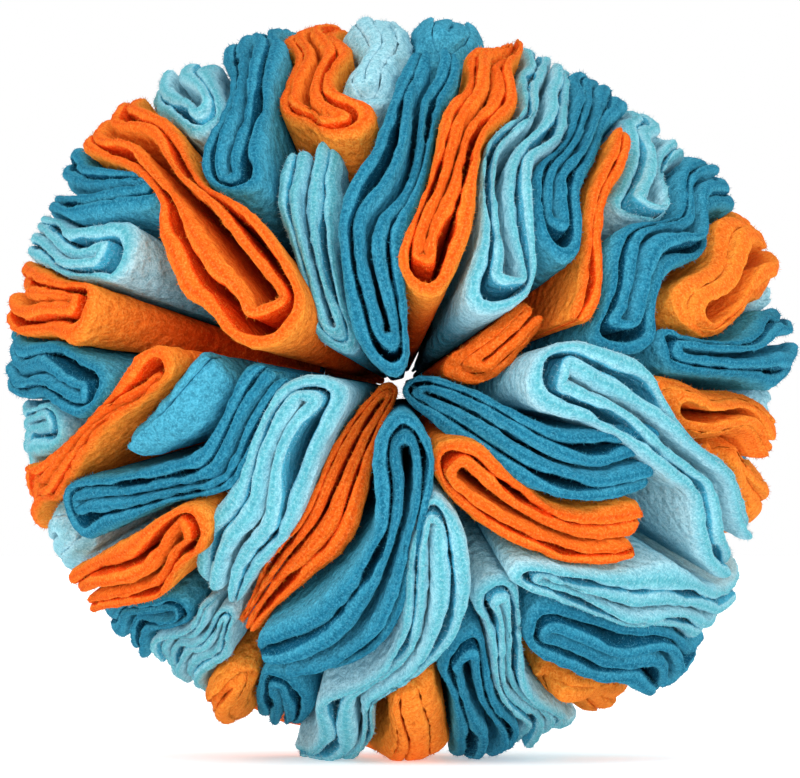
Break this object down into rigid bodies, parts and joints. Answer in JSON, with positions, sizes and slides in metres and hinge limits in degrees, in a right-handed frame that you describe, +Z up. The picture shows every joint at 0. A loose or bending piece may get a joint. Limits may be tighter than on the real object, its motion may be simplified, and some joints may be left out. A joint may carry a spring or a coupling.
{
  "type": "dog snuffle ball",
  "caption": "Dog snuffle ball of folded orange, teal and aqua fleece petals drawn together round a small middle hole, with pockets that hide dry treats.",
  "frame": {"origin": "on the surface the ball rests on, under the middle of its box", "axes": "+Z up, the middle hole along Y with its front at -Y, +X to the right as seen from the front"},
  "size_m": [0.1509, 0.1484, 0.1445],
  "materials": {
    "orange_fleece": "matte brushed nap",
    "teal_fleece": "matte brushed nap",
    "aqua_fleece": "matte brushed nap"
  },
  "bodies": {
    "root": {"teal_petal_01": "teal_fleece", "orange_petal_01": "orange_fleece", "aqua_petal_01": "aqua_fleece", "orange_petal_02": "orange_fleece", "teal_petal_02": "teal_fleece", "orange_petal_03": "orange_fleece", "aqua_petal_02": "aqua_fleece", "teal_petal_03": "teal_fleece", "orange_petal_04": "orange_fleece", "aqua_petal_03": "aqua_fleece", "orange_petal_05": "orange_fleece", "aqua_petal_04": "aqua_fleece", "orange_petal_06": "orange_fleece", "teal_petal_04": "teal_fleece", "orange_petal_07": "orange_fleece", "teal_petal_05": "teal_fleece", "aqua_petal_05": "aqua_fleece", "aqua_petal_06": "aqua_fleece", "orange_petal_08": "orange_fleece", "teal_petal_06": "teal_fleece", "aqua_petal_07": "aqua_fleece", "teal_petal_07": "teal_fleece", "aqua_petal_08": "aqua_fleece", "teal_petal_08": "teal_fleece", "orange_petal_09": "orange_fleece", "teal_petal_09": "teal_fleece", "aqua_petal_09": "aqua_fleece", "orange_petal_10": "orange_fleece", "teal_petal_10": "teal_fleece", "teal_petal_11": "teal_fleece", "orange_petal_11": "orange_fleece", "orange_petal_12": "orange_fleece", "aqua_petal_10": "aqua_fleece", "teal_petal_12": "teal_fleece", "teal_petal_13": "teal_fleece", "teal_petal_14": "teal_fleece", "orange_petal_13": "orange_fleece", "aqua_petal_11": "aqua_fleece", "aqua_petal_12": "aqua_fleece", "orange_petal_14": "orange_fleece", "orange_petal_15": "orange_fleece", "orange_petal_16": "orange_fleece", "teal_petal_15": "teal_fleece", "aqua_petal_13": "aqua_fleece", "aqua_petal_14": "aqua_fleece", "teal_petal_16": "teal_fleece", "aqua_petal_15": "aqua_fleece", "aqua_petal_16": "aqua_fleece", "orange_petal_17": "orange_fleece", "teal_petal_17": "teal_fleece", "aqua_petal_17": "aqua_fleece", "orange_petal_18": "orange_fleece", "teal_petal_18": "teal_fleece", "aqua_petal_18": "aqua_fleece", "teal_petal_19": "teal_fleece", "aqua_petal_19": "aqua_fleece", "orange_petal_19": "orange_fleece", "teal_petal_20": "teal_fleece", "aqua_petal_20": "aqua_fleece", "orange_petal_20": "orange_fleece"}
  },
  "joints": []
}
